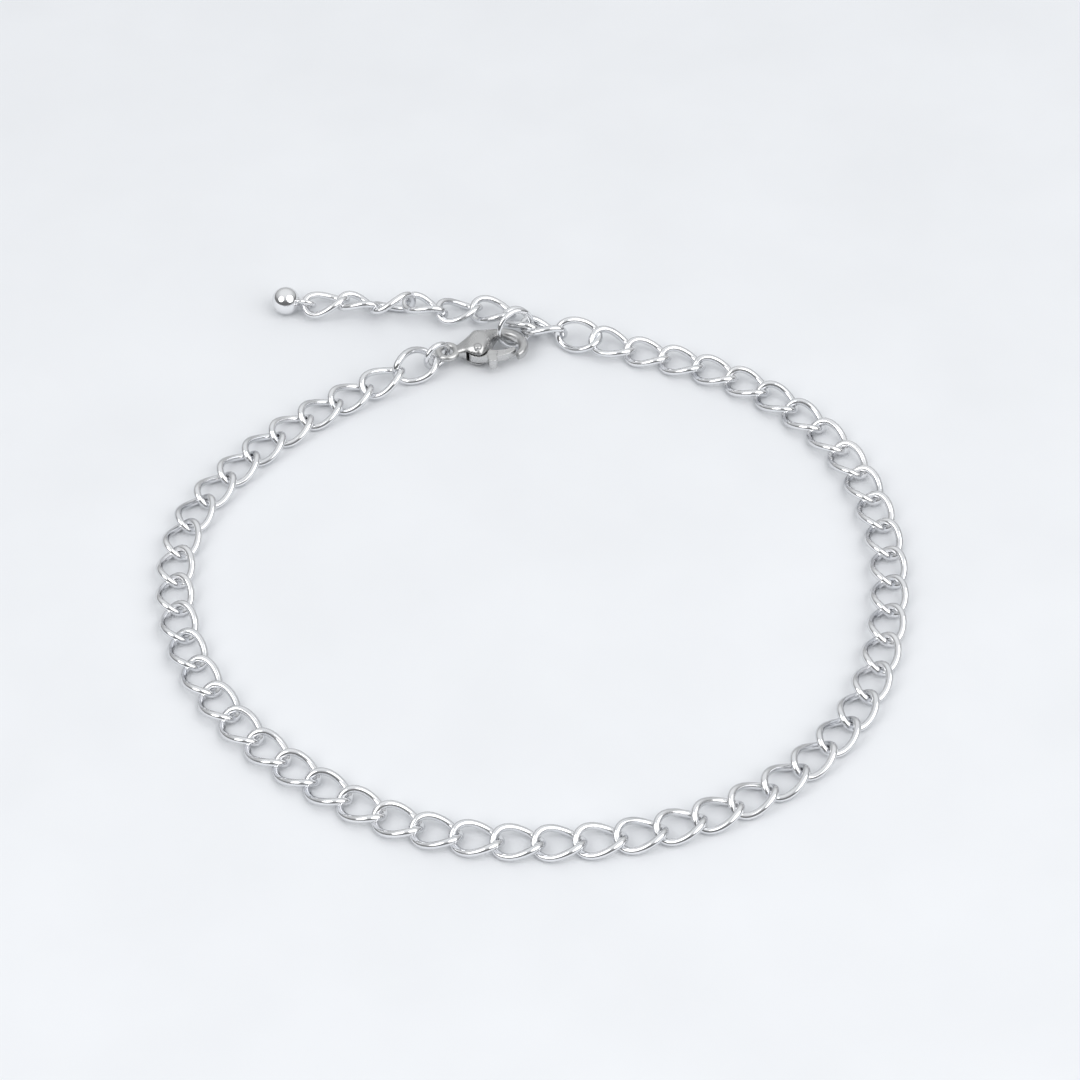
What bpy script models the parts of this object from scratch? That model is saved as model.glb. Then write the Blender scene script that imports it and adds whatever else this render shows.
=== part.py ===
"""A curb chain bracelet that lies closed on a table.

Fifty-four twisted oval links make the loop. A lobster clasp at the back hooks a round ring,
and a short extender chain of the same links, with a polished ball at its end, hangs from that ring.

Lengths are millimetres until mesh_object turns them into metres. The working frame has its origin
at the middle of the loop, +X right, +Y to the back and +Z up, and everything lies on z = 0.
Counterclockwise, seen from above, is the way along the chain. The clasp has a frame of its own:
along from the middle of its eye to its bend, across to the far side, and up.
"""

import math

import bmesh
import bpy
import numpy as np
from mathutils import Matrix, Vector

METRES = 0.001
UP = np.array([0.0, 0.0, 1.0])

# Curb links
LINK_WIRE = 0.65
LINK_WIDTH = 3.95
LINK_PITCH = 3.80
LINK_BITE = 0.12  # how far two neighbours' wires press into each other, which makes the chain one body
LINK_TWIST = 45.0  # degrees from the middle of a link to each of its ends
LINK_COUNT = 54
LINK_SEGMENTS = 12
WIRE_SIDES = 6

# The loop's route: bearing in degrees, and reach as a share of the loop's radius, chosen by hand.
# Its first and last points are the places where the end links hold their rings.
LOOP_ROUTE = [
    (130, 0.935),
    (150, 0.982),
    (170, 1.050),
    (190, 1.045),
    (210, 1.015),
    (230, 0.982),
    (250, 0.980),
    (270, 0.974),
    (290, 0.985),
    (310, 1.006),
    (330, 1.015),
    (350, 1.000),
    (370, 1.009),
    (390, 1.026),
    (410, 1.008),
    (430, 0.978),
]
ROUTE_STEPS = 16
RADIUS_TOLERANCE = 1e-6
# Roll in degrees of the first links after the clasp ring, and of the last before the end ring
FIRST_LINK_ROLLS = [-48.1, 3.8]
LAST_LINK_ROLLS = [-35.1, 32.5]

# Lobster clasp
CLASP_BEARING = 107.4
CLASP_REACH = 0.955
CLASP_HEADING = 10.0
CLASP_LENGTH = 10.0
CLASP_WIDTH = 5.1
CLASP_THICK = 2.8
CLASP_MIDDLE = 1.45  # height of the lever, the eye and the hook's arm
EYE_OUTER = 2.7
EYE_WIRE = 0.75
EYE_SEGMENTS = 14
SECTION_STEPS = 2
SECTION_CORNER = 0.32

# Sections of the clasp's body along its hook. Along is a share of the length from the eye to the
# bend, across and half are shares of the width, low and high are shares of the thickness, and turn
# is the way that the hook runs there, in degrees.
CLASP_SECTIONS = [
    {"along": 0.110, "across": 0.000, "half": 0.115, "low": 0.40, "high": 0.64, "turn": 0},
    {"along": 0.190, "across": 0.000, "half": 0.180, "low": 0.24, "high": 0.80, "turn": 0},
    {"along": 0.280, "across": 0.000, "half": 0.300, "low": 0.00, "high": 0.95, "turn": 0},
    {"along": 0.375, "across": 0.030, "half": 0.390, "low": 0.00, "high": 1.00, "turn": 4},
    {"along": 0.470, "across": 0.130, "half": 0.305, "low": 0.00, "high": 0.97, "turn": 12},
    {"along": 0.555, "across": 0.265, "half": 0.175, "low": 0.14, "high": 0.86, "turn": 16},
    {"along": 0.650, "across": 0.340, "half": 0.110, "low": 0.30, "high": 0.74, "turn": 6},
    {"along": 0.750, "across": 0.325, "half": 0.102, "low": 0.30, "high": 0.74, "turn": -16},
    {"along": 0.850, "across": 0.240, "half": 0.100, "low": 0.30, "high": 0.74, "turn": -42},
    {"along": 0.920, "across": 0.080, "half": 0.100, "low": 0.30, "high": 0.74, "turn": -74},
    {"along": 0.935, "across": -0.110, "half": 0.098, "low": 0.30, "high": 0.74, "turn": -105},
    {"along": 0.895, "across": -0.275, "half": 0.085, "low": 0.32, "high": 0.72, "turn": -138},
    {"along": 0.835, "across": -0.370, "half": 0.060, "low": 0.36, "high": 0.68, "turn": -150},
]

# Lever: a flat finger on a pin, with a thumb knob on its outer side
LEVER_THICK = 0.90
LEVER_GAP = 0.15
PIN_ALONG = 0.360
PIN_ACROSS = -0.190
PIN_RADIUS = 0.35
PIN_GAP = 0.12
PIN_SIDES = 12
SLOT_BACK = 0.215
SLOT_FRONT = 0.680
SLOT_DEPTH = 0.015
LEVER_SECTIONS = [
    {"along": 0.250, "across": -0.190, "half": 0.060},
    {"along": 0.285, "across": -0.190, "half": 0.125},
    {"along": 0.360, "across": -0.190, "half": 0.170},
    {"along": 0.460, "across": -0.245, "half": 0.130},
    {"along": 0.560, "across": -0.290, "half": 0.095},
    {"along": 0.680, "across": -0.290, "half": 0.078},
    {"along": 0.770, "across": -0.235, "half": 0.068},
    {"along": 0.820, "across": -0.195, "half": 0.040},
]
KNOB_ALONG = 0.520
KNOB_REACH = -0.560
KNOB_WIDTH = 0.95
KNOB_THICK = 1.3
KNOB_ROOT = -0.350

# Round rings: heading of the line through the ring's two seats, measured from the clasp's own, and
# the lean of its plane from the table
RING_WIRE = 0.60
RING_SEGMENTS = 16
RING_GAP = 0.20  # slack between a ring and a link that it holds
CLASP_RING_OUTER = 3.4
CLASP_RING_HEADING = 208.2
CLASP_RING_LEAN = 90.0
END_RING_OUTER = 4.6
END_RING_HEADING = 23.0
END_RING_LEAN = 76.4
HOOK_ALONG = 0.689
HOOK_ACROSS = 0.119
CHAIN_SEAT = -15.1
EXTENDER_SEAT = -20.0

# Extender: heading and roll of each link, in degrees, from the end ring to the ball
EXTENDER_LINKS = [
    {"heading": 136.4, "roll": 23.1},
    {"heading": 160.0, "roll": 4.0},
    {"heading": 196.0, "roll": 10.0},
    {"heading": 157.0, "roll": 28.0},
    {"heading": 197.0, "roll": 52.0},
    {"heading": 156.0, "roll": 30.0},
    {"heading": 190.0, "roll": 12.0},
]
BALL_DIAMETER = 3.0
BALL_SIDES = 16
BALL_ROWS = 10
BALL_EYE_OUTER = 2.3
BALL_EYE_WIRE = 0.5
BALL_EYE_SINK = 0.45
BALL_EYE_HEADING = 172.0


def cosd(degrees):
    return math.cos(math.radians(degrees))


def sind(degrees):
    return math.sin(math.radians(degrees))


def unit(vector):
    return vector / np.linalg.norm(vector)


def level(heading):
    """The horizontal direction at this heading, in degrees counterclockwise from +X."""
    return np.array([cosd(heading), sind(heading), 0.0])


def smooth_rows(rows, steps):
    """Rows of numbers with steps - 1 new rows between each two, on a Catmull-Rom curve."""
    rows = np.array(rows, float)
    padded = np.vstack([2 * rows[0] - rows[1], rows, 2 * rows[-1] - rows[-2]])
    out = []
    for before, first, second, after in zip(padded, padded[1:], padded[2:], padded[3:]):
        for share in np.arange(steps) / steps:
            straight = second - first
            bend_in = (second - before) / 2
            bend_out = (after - first) / 2
            out.append(
                first
                + bend_in * share
                + (3 * straight - 2 * bend_in - bend_out) * share**2
                + (bend_in + bend_out - 2 * straight) * share**3
            )
    return np.array(out + [rows[-1]])


def corner_radius(radius, sides):
    """Reach of a polygon's corners, for a polygon with the area of a circle of this radius."""
    return radius * math.sqrt(2 * math.pi / (sides * math.sin(2 * math.pi / sides)))


def closed_wire(centreline, wire, sides=WIRE_SIDES):
    """Vertices and faces of a round wire bent along a closed centreline."""
    count = len(centreline)
    middle = centreline.mean(axis=0)
    reach = corner_radius(wire / 2, sides)
    vertices = []
    for index, point in enumerate(centreline):
        along = unit(centreline[(index + 1) % count] - centreline[index - 1])
        outward = point - middle
        outward = unit(outward - outward.dot(along) * along)
        sideways = np.cross(along, outward)
        for turn in 2 * math.pi * (np.arange(sides) + 0.5) / sides:
            vertices.append(point + reach * (math.cos(turn) * outward + math.sin(turn) * sideways))
    faces = []
    for ring in range(count):
        for side in range(sides):
            here, there = ring * sides, (ring + 1) % count * sides
            faces.append((here + side, here + (side + 1) % sides, there + (side + 1) % sides, there + side))
    return np.array(vertices), faces


def loft(sections):
    """Vertices and faces of a closed solid through polygons with the same number of corners."""
    count, corners = len(sections), len(sections[0])
    faces = [tuple(range(corners))[::-1], tuple((count - 1) * corners + k for k in range(corners))]
    for row in range(count - 1):
        for side in range(corners):
            here, there = row * corners, (row + 1) * corners
            faces.append((here + side, here + (side + 1) % corners, there + (side + 1) % corners, there + side))
    return np.vstack(sections), faces


def joined(solids):
    """Several pairs of vertices and faces as one pair."""
    vertices, faces, start = [], [], 0
    for points, polygons in solids:
        vertices.append(points)
        faces += [tuple(start + corner for corner in polygon) for polygon in polygons]
        start += len(points)
    return np.vstack(vertices), faces


def mesh_object(name, solid, material=None):
    """A Blender object from vertices in millimetres, with its faces turned outwards."""
    vertices, faces = solid
    mesh = bpy.data.meshes.new(name)
    mesh.from_pydata((np.asarray(vertices) * METRES).tolist(), [], faces)
    shape = bmesh.new()
    shape.from_mesh(mesh)
    bmesh.ops.recalc_face_normals(shape, faces=shape.faces)
    shape.to_mesh(mesh)
    shape.free()
    mesh.shade_smooth()
    mesh.set_sharp_from_angle(angle=math.radians(50))
    piece = bpy.data.objects.new(name, mesh)
    bpy.context.scene.collection.objects.link(piece)
    if material:
        mesh.materials.append(material)
    return piece


def boolean(piece, operation, tool):
    """Joins or cuts with a helper object, which stays out of renders."""
    tool.hide_render = True
    tool.display_type = "WIRE"
    modifier = piece.modifiers.new(f"{operation.lower()} {tool.name}", "BOOLEAN")
    modifier.operation = operation
    modifier.object = tool
    modifier.solver = "EXACT"


def metal(name, colour, roughness):
    material = bpy.data.materials.new(name)
    material.use_nodes = True
    shader = material.node_tree.nodes["Principled BSDF"]
    shader.inputs["Base Color"].default_value = (*colour, 1.0)
    shader.inputs["Metallic"].default_value = 1.0
    shader.inputs["Roughness"].default_value = roughness
    return material


def axes_along(direction, roll=0.0):
    """Rows along, left and up for a piece that runs in this direction, rolled about it by degrees."""
    along = unit(direction)
    left = unit(np.cross(UP, along))
    up = np.cross(along, left)
    return np.array([along, cosd(roll) * left + sind(roll) * up, cosd(roll) * up - sind(roll) * left])


LINK_HALF = (LINK_PITCH + LINK_WIRE - LINK_BITE) / 2


def seat_from_middle():
    """Distance from a link's middle to the middle of a ring's wire that it holds."""
    return LINK_HALF - LINK_WIRE / 2 - RING_WIRE / 2 - RING_GAP


def link_centreline(segments=LINK_SEGMENTS):
    """One link's wire: an oval along x that is twisted about x, half to each side."""
    turn = 2 * math.pi * np.arange(segments) / segments
    along = LINK_HALF * np.cos(turn)
    across = (LINK_WIDTH - LINK_WIRE) / 2 * np.sin(turn)
    twist = -np.radians(LINK_TWIST) * along / LINK_HALF
    return np.stack([along, across * np.cos(twist), across * np.sin(twist)], axis=1)


def link_at(middle, direction, roll=0.0):
    vertices, faces = closed_wire(link_centreline(), LINK_WIRE)
    return middle + vertices @ axes_along(direction, roll), faces


def link_height(roll=0.0):
    """Height of a level link's middle when its wire touches the table."""
    return -link_at(np.zeros(3), level(0), roll)[0][:, 2].min()


def ring_reach(outer, wire):
    return (outer - wire) / 2


def ring_height(outer, wire, lean):
    """Height of a leaning ring's middle when its wire touches the table."""
    return ring_reach(outer, wire) * sind(lean) + corner_radius(wire / 2, WIRE_SIDES)


def ring_point(pose, turn):
    """The middle of the ring's wire, this many degrees from the line through its seats."""
    return pose["middle"] + pose["reach"] * (cosd(turn) * pose["along"] + sind(turn) * pose["rise"])


def ring_pose(seat, heading, outer, lean):
    """A ring on the table whose wire passes through this point, on the side away from its heading."""
    reach = ring_reach(outer, RING_WIRE)
    along, left = level(heading), level(heading + 90)
    rise = cosd(lean) * left + sind(lean) * UP
    height = ring_height(outer, RING_WIRE, lean)
    sine = (seat[2] - height) / (reach * sind(lean))
    turn = 180 - math.degrees(math.asin(sine))
    middle = seat - reach * (cosd(turn) * along + sind(turn) * rise)
    return {"middle": middle, "along": along, "rise": rise, "reach": reach, "seat": turn}


def ring_solid(pose):
    turns = 360 * np.arange(RING_SEGMENTS) / RING_SEGMENTS
    return closed_wire(np.array([ring_point(pose, turn) for turn in turns]), RING_WIRE)


def clasp_bend():
    """Distance from the middle of the eye to the outside of the clasp's bend."""
    return CLASP_LENGTH - EYE_OUTER / 2


def in_clasp(along, across, height):
    """A point of the clasp's own frame, from shares of its length and width, in the working frame."""
    return (
        clasp_eye
        + clasp_bend() * along * level(CLASP_HEADING)
        + CLASP_WIDTH * across * level(CLASP_HEADING + 90)
        + height * UP
    )


def loop_points(radius, start, end):
    """A smooth curve from start to end round the loop's chosen points."""
    chosen = [radius * reach * level(bearing) for bearing, reach in LOOP_ROUTE]
    flat = [point * (1, 1, 0) for point in (start, *chosen, end)]
    return smooth_rows(flat, ROUTE_STEPS)


def lengths_along(points):
    return np.concatenate([[0], np.cumsum(np.linalg.norm(np.diff(points, axis=0), axis=1))])


def place_clasp(radius):
    """Sets the eye's place for this radius, and returns the poses of the two rings."""
    global clasp_eye
    clasp_eye = radius * CLASP_REACH * level(CLASP_BEARING)
    eye = in_clasp(0, 0, CLASP_MIDDLE)
    hook = in_clasp(HOOK_ALONG, HOOK_ACROSS, CLASP_MIDDLE)
    clasp_ring = ring_pose(eye, CLASP_HEADING + CLASP_RING_HEADING, CLASP_RING_OUTER, CLASP_RING_LEAN)
    end_ring = ring_pose(hook, CLASP_HEADING + END_RING_HEADING, END_RING_OUTER, END_RING_LEAN)
    return clasp_ring, end_ring


def seat_low(pose, height):
    """The turn at which the ring's wire is at this height, on the side of its heading."""
    sine = (height - pose["middle"][2]) / (pose["reach"] * pose["rise"][2])
    return math.degrees(math.asin(max(-1.0, min(1.0, sine))))


def loop_for(radius):
    """The two rings and the route of the chain between them, for a loop of this radius."""
    clasp_ring, end_ring = place_clasp(radius)
    start = ring_point(clasp_ring, seat_low(clasp_ring, link_height(FIRST_LINK_ROLLS[0])))
    end = ring_point(end_ring, CHAIN_SEAT)
    return clasp_ring, end_ring, loop_points(radius, start, end)


def solve_radius():
    """The radius at which the route is as long as the chain."""
    wanted = (LINK_COUNT - 1) * LINK_PITCH + 2 * seat_from_middle()
    low, high = wanted / 12, wanted / 3
    while high - low > RADIUS_TOLERANCE:
        radius = (low + high) / 2
        if lengths_along(loop_for(radius)[2])[-1] < wanted:
            low = radius
        else:
            high = radius
    return (low + high) / 2


def joints_along(route, count):
    """The joints of so many links from the start of a route, where the first link holds a ring."""
    lengths = lengths_along(route)
    joints = seat_from_middle() - LINK_PITCH / 2 + LINK_PITCH * np.arange(count + 1)
    plan = np.array([[np.interp(joint, lengths, route[:, axis]) for axis in range(3)] for joint in joints])
    plan[0] += joints[0] * unit(route[1] - route[0])
    if joints[-1] > lengths[-1]:
        plan[-1] += (joints[-1] - lengths[-1]) * unit(route[-1] - route[-2])
    return plan


def chain_links(route, end_height):
    """Middle, direction and roll of each link of the loop."""
    plan = joints_along(route, LINK_COUNT)
    level_links = LINK_COUNT - len(FIRST_LINK_ROLLS) - len(LAST_LINK_ROLLS)
    rolls = FIRST_LINK_ROLLS + [0.0] * level_links + LAST_LINK_ROLLS
    return links_between(plan, rolls, None, end_height)


def links_between(plan, rolls, start_height, end_height):
    """Links from each joint to the next, each high enough for its roll at both its ends."""
    heights = [link_height(roll) for roll in rolls]
    joint_heights = [heights[0], *map(max, heights, heights[1:]), heights[-1]]
    if start_height is not None:
        joint_heights[0] = max(joint_heights[0], start_height)
    if end_height is not None:
        joint_heights[-1] = max(joint_heights[-1], end_height)
    joints = [point * (1, 1, 0) + height * UP for point, height in zip(plan, joint_heights)]
    return [
        ((here + there) / 2, there - here, roll)
        for here, there, roll in zip(joints, joints[1:], rolls)
    ]


def extender_links(seat):
    """Middle, direction and roll of each link of the extender, from the ring's wire outwards."""
    first = level(EXTENDER_LINKS[0]["heading"])
    plan = [seat + first * (seat_from_middle() - LINK_PITCH / 2)]
    for row in EXTENDER_LINKS:
        plan.append(plan[-1] + LINK_PITCH * level(row["heading"]))
    return links_between(plan, [row["roll"] for row in EXTENDER_LINKS], seat[2], None)


def chain_object(name, links, material):
    """All the links as one body: every second link in one mesh, joined to the others."""
    solids = [link_at(*link) for link in links]
    piece = mesh_object(name, joined(solids[::2]), material)
    boolean(piece, "UNION", mesh_object(f"{name} second links", joined(solids[1::2]), material))
    return piece


def clasp_section(row):
    """One section of the clasp's body: a rectangle with round corners across the hook's way."""
    middle = in_clasp(row[0], row[1], 0)
    sideways = level(CLASP_HEADING + row[5] + 90)
    half, low, high = CLASP_WIDTH * row[2], CLASP_THICK * row[3], CLASP_THICK * row[4]
    corner = SECTION_CORNER * min(2 * half, high - low)
    points = []
    for side, base, start in ((1, low, -90), (1, high, 0), (-1, high, 90), (-1, low, 180)):
        inner = base + corner * (1 if base == low else -1)
        for turn in (start, start + 45, start + 90):
            across = side * (half - corner) + corner * cosd(turn)
            points.append(middle + across * sideways + (inner + corner * sind(turn)) * UP)
    return np.array(points)


def clasp_solid():
    keys = ("along", "across", "half", "low", "high", "turn")
    rows = smooth_rows([[section[key] for key in keys] for section in CLASP_SECTIONS], SECTION_STEPS)
    rows[:, 3] = np.maximum(rows[:, 3], 0)
    return loft([clasp_section(row) for row in rows])


def prism(outline, low, high):
    """A straight solid on an outline of plan points, between two heights."""
    flat = np.array(outline) * (1, 1, 0)
    return loft([flat + low * UP, flat + high * UP])


def disc(middle, radius, low, high, sides=PIN_SIDES):
    turns = 360 * (np.arange(sides) + 0.5) / sides
    return prism([middle + radius * level(turn) for turn in turns], low, high)


def eye_solid():
    turns = 360 * (np.arange(EYE_SEGMENTS) + 0.5) / EYE_SEGMENTS
    reach = ring_reach(EYE_OUTER, EYE_WIRE)
    middle = in_clasp(0, 0, CLASP_MIDDLE)
    return closed_wire(np.array([middle + reach * level(turn) for turn in turns]), EYE_WIRE)


def clasp_body_object(material):
    body = mesh_object("clasp_body", clasp_solid(), material)
    slot_half = LEVER_THICK / 2 + LEVER_GAP
    slot = [
        in_clasp(along, across, 0)
        for along, across in (
            (SLOT_BACK, -1),
            (SLOT_FRONT, -1),
            (SLOT_FRONT, SLOT_DEPTH),
            (SLOT_BACK, SLOT_DEPTH),
        )
    ]
    low, high = CLASP_MIDDLE - slot_half, CLASP_MIDDLE + slot_half
    boolean(body, "DIFFERENCE", mesh_object("lever slot", prism(slot, low, high)))
    pin = in_clasp(PIN_ALONG, PIN_ACROSS, 0)
    embed = slot_half + (CLASP_THICK / 2 - slot_half) / 2
    pin_solid = disc(pin, PIN_RADIUS, CLASP_MIDDLE - embed, CLASP_MIDDLE + embed)
    boolean(body, "UNION", mesh_object("lever pin", pin_solid))
    boolean(body, "UNION", mesh_object("clasp eye", eye_solid()))
    return body


def lever_outline():
    keys = ("along", "across", "half")
    rows = smooth_rows([[section[key] for key in keys] for section in LEVER_SECTIONS], SECTION_STEPS)
    middles = [in_clasp(along, across, 0) for along, across, _ in rows]
    ways = [unit(middles[min(k + 1, len(rows) - 1)] - middles[max(k - 1, 0)]) for k in range(len(rows))]
    lefts = [np.cross(UP, way) for way in ways]
    left = [middle + CLASP_WIDTH * row[2] * side for middle, row, side in zip(middles, rows, lefts)]
    right = [middle - CLASP_WIDTH * row[2] * side for middle, row, side in zip(middles, rows, lefts)]
    return right + left[::-1]


def knob_outline():
    """A tab with a round end, square to the clasp's length."""
    root = in_clasp(KNOB_ALONG, KNOB_ROOT, 0)
    radius = KNOB_WIDTH / 2
    out = level(CLASP_HEADING - 90)
    reach = CLASP_WIDTH * (KNOB_ROOT - KNOB_REACH) - radius
    ends = [
        root + reach * out + radius * level(CLASP_HEADING + turn)
        for turn in (180, 210, 240, 270, 300, 330, 360)
    ]
    half = radius * level(CLASP_HEADING)
    return [root - half, *ends, root + half]


def lever_object(material):
    """The lever, with its object's origin on the pin's axis."""
    pin = in_clasp(PIN_ALONG, PIN_ACROSS, CLASP_MIDDLE)
    low, high = -LEVER_THICK / 2, LEVER_THICK / 2

    def from_pin(outline, low, high):
        vertices, faces = prism(outline, low, high)
        return vertices - pin * (1, 1, 0), faces

    lever = mesh_object("clasp_lever", from_pin(lever_outline(), low, high), material)
    knob = mesh_object("lever knob", from_pin(knob_outline(), -KNOB_THICK / 2, KNOB_THICK / 2))
    hole_solid = disc(pin * 0, PIN_RADIUS + PIN_GAP, -LEVER_THICK, LEVER_THICK)
    hole = mesh_object("lever hole", hole_solid)
    boolean(lever, "UNION", knob)
    boolean(lever, "DIFFERENCE", hole)
    for piece in (lever, knob, hole):
        piece.location = Vector(pin * METRES)
    return lever


def ball_object(link, material):
    """The end ball with the eye soldered to it, which passes through the last link."""
    middle, direction, roll = link
    reach = ring_reach(BALL_EYE_OUTER, BALL_EYE_WIRE)
    seat = middle + unit(direction) * (LINK_HALF - reach)
    radius = BALL_DIAMETER / 2
    span = 2 * reach + BALL_EYE_WIRE / 2 + radius - BALL_EYE_SINK
    slope = (radius - seat[2]) / span
    way = math.sqrt(1 - slope**2) * level(BALL_EYE_HEADING) + slope * UP
    along, left, _ = axes_along(way, roll + LINK_TWIST)
    turns = 360 * np.arange(LINK_SEGMENTS) / LINK_SEGMENTS
    eye_middle = seat + reach * along
    eye_line = [eye_middle + reach * (cosd(turn) * along + sind(turn) * left) for turn in turns]
    ball_middle = seat + span * along
    shape = bmesh.new()
    bmesh.ops.create_uvsphere(
        shape,
        u_segments=BALL_SIDES,
        v_segments=BALL_ROWS,
        radius=radius,
        matrix=Matrix.Translation(Vector(ball_middle)),
    )
    shape.verts.index_update()
    vertices = np.array([vertex.co[:] for vertex in shape.verts])
    faces = [tuple(vertex.index for vertex in face.verts) for face in shape.faces]
    shape.free()
    ball = mesh_object("end_ball", (vertices, faces), material)
    boolean(ball, "UNION", mesh_object("ball eye", closed_wire(np.array(eye_line), BALL_EYE_WIRE)))
    return ball


def middle_on_origin(pieces):
    """Puts the middle of the whole bracelet's box over the world's origin, by a parent empty."""
    bpy.context.view_layer.update()
    graph = bpy.context.evaluated_depsgraph_get()
    corners = np.array(
        [
            piece.matrix_world @ Vector(corner)
            for piece in pieces
            for corner in piece.evaluated_get(graph).bound_box
        ]
    )
    middle = (corners.min(axis=0) + corners.max(axis=0)) / 2
    bracelet = bpy.data.objects.new("bracelet", None)
    bpy.context.scene.collection.objects.link(bracelet)
    bracelet.location = (-middle[0], -middle[1], 0.0)
    for piece in bpy.context.scene.objects:
        if piece is not bracelet:
            piece.parent = bracelet


def build():
    for old in list(bpy.data.objects):
        bpy.data.objects.remove(old, do_unlink=True)
    steel = metal("polished steel", (0.82, 0.83, 0.85), 0.12)
    clasp_steel = metal("clasp steel", (0.72, 0.73, 0.75), 0.22)
    ball_steel = metal("ball steel", (0.88, 0.89, 0.90), 0.06)

    clasp_ring, end_ring, route = loop_for(solve_radius())
    chain = chain_links(route, ring_point(end_ring, CHAIN_SEAT)[2])
    extender = extender_links(ring_point(end_ring, EXTENDER_SEAT))
    pieces = [
        chain_object("curb_chain", chain, steel),
        mesh_object("clasp_ring", ring_solid(clasp_ring), steel),
        clasp_body_object(clasp_steel),
        lever_object(clasp_steel),
        mesh_object("end_ring", ring_solid(end_ring), steel),
        chain_object("extender_chain", extender, steel),
        ball_object(extender[-1], ball_steel),
    ]
    middle_on_origin(pieces)
    return pieces


if __name__ == "__main__":
    build()
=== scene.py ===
# %% [markdown]
# A closed curb chain bracelet lies on pale paper, seen from its front and from above. The packed
# model gives the frame: the places, sizes and the one moving lever. This script gives the looks.
# Every visible piece is made again in finer form over its solid, because bright polished wire shows
# each facet of a plain model.

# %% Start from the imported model
import math

import bmesh
import bpy
import numpy as np
from mathutils import Matrix, Vector


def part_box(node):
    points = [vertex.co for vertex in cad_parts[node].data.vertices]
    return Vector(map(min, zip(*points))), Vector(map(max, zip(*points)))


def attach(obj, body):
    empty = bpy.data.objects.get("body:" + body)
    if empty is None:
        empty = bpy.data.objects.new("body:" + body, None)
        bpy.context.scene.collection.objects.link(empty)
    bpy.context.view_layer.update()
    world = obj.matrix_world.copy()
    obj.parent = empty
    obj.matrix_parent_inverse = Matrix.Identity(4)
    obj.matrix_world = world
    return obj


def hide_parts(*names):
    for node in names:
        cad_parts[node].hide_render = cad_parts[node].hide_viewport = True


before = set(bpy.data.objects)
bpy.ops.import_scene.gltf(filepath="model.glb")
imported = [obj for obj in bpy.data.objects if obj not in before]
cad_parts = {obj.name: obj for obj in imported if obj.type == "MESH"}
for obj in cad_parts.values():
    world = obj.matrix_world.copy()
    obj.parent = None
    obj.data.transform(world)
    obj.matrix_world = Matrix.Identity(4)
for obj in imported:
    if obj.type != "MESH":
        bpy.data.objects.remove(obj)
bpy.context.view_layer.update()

# %% [markdown]
# The sizes are those of the solids, in millimetres, because a jeweller thinks in them. They are
# turned into metres only where a mesh is made. The working frame has its origin in the middle of
# the loop. The clasp has its own: along from its eye to its bend, across to the far side.

# %% Sizes of the chain, the rings and the clasp
MM = 0.001
UP = np.array([0.0, 0.0, 1.0])
LINK_WIRE = 0.65
LINK_WIDTH = 3.95
LINK_PITCH = 3.80
LINK_BITE = 0.12
LINK_TWIST = 45.0
LINK_COUNT = 54
WIRE_SIDES = 6
FREE_PLAY = 0.02  # between the wires of two neighbours

LOOP_ROUTE = [  # bearing from the middle and share of the loop's radius
    (130, 0.935),
    (150, 0.982),
    (170, 1.050),
    (190, 1.045),
    (210, 1.015),
    (230, 0.982),
    (250, 0.980),
    (270, 0.974),
    (290, 0.985),
    (310, 1.006),
    (330, 1.015),
    (350, 1.000),
    (370, 1.009),
    (390, 1.026),
    (410, 1.008),
    (430, 0.978),
]
ROUTE_STEPS = 16
FIRST_LINK_ROLLS = [-48.1, 3.8]
LAST_LINK_ROLLS = [-35.1, 32.5]

CLASP_BEARING = 107.4
CLASP_REACH = 0.955
CLASP_HEADING = 10.0
CLASP_LENGTH = 10.0
CLASP_WIDTH = 5.1
CLASP_THICK = 2.8
CLASP_MIDDLE = 1.45
EYE_OUTER = 2.7
EYE_WIRE = 0.75

RING_WIRE = 0.60
RING_GAP = 0.20
CLASP_RING_OUTER = 3.4
CLASP_RING_HEADING = 208.2
CLASP_RING_LEAN = 90.0
END_RING_OUTER = 4.6
END_RING_HEADING = 23.0
END_RING_LEAN = 76.4
HOOK_ALONG = 0.689
HOOK_ACROSS = 0.119
CHAIN_SEAT = -15.1
EXTENDER_SEAT = -20.0
EXTENDER_LINKS = [  # heading and roll
    (136.4, 23.1),
    (160.0, 4.0),
    (196.0, 10.0),
    (157.0, 28.0),
    (197.0, 52.0),
    (156.0, 30.0),
    (190.0, 12.0),
]
BALL_DIAMETER = 3.0
BALL_EYE_OUTER = 2.3
BALL_EYE_WIRE = 0.5
BALL_EYE_SINK = 0.45
BALL_EYE_HEADING = 172.0


# %% [markdown]
# The places are worked out in the same way as for the solids: a smooth route through a few chosen
# points, as long as the chain, and a link from each joint to the next. A link that is rolled stands
# higher, so each joint is as high as the higher of its two links needs.

# %% Small helpers for directions and smooth rows
def cosd(degrees):
    return math.cos(math.radians(degrees))


def sind(degrees):
    return math.sin(math.radians(degrees))


def unit(vector):
    return vector / np.linalg.norm(vector)


def level(heading):
    return np.array([cosd(heading), sind(heading), 0.0])


def smooth_rows(rows, steps):
    """Rows of numbers with steps - 1 new rows between each two, on a Catmull-Rom curve."""
    rows = np.array(rows, float)
    padded = np.vstack([2 * rows[0] - rows[1], rows, 2 * rows[-1] - rows[-2]])
    out = []
    for before, first, second, after in zip(padded, padded[1:], padded[2:], padded[3:]):
        for share in np.arange(steps) / steps:
            straight = second - first
            bend_in = (second - before) / 2
            bend_out = (after - first) / 2
            cubic = (bend_in + bend_out - 2 * straight) * share**3
            square = (3 * straight - 2 * bend_in - bend_out) * share**2
            out.append(first + bend_in * share + square + cubic)
    return np.array(out + [rows[-1]])


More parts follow.
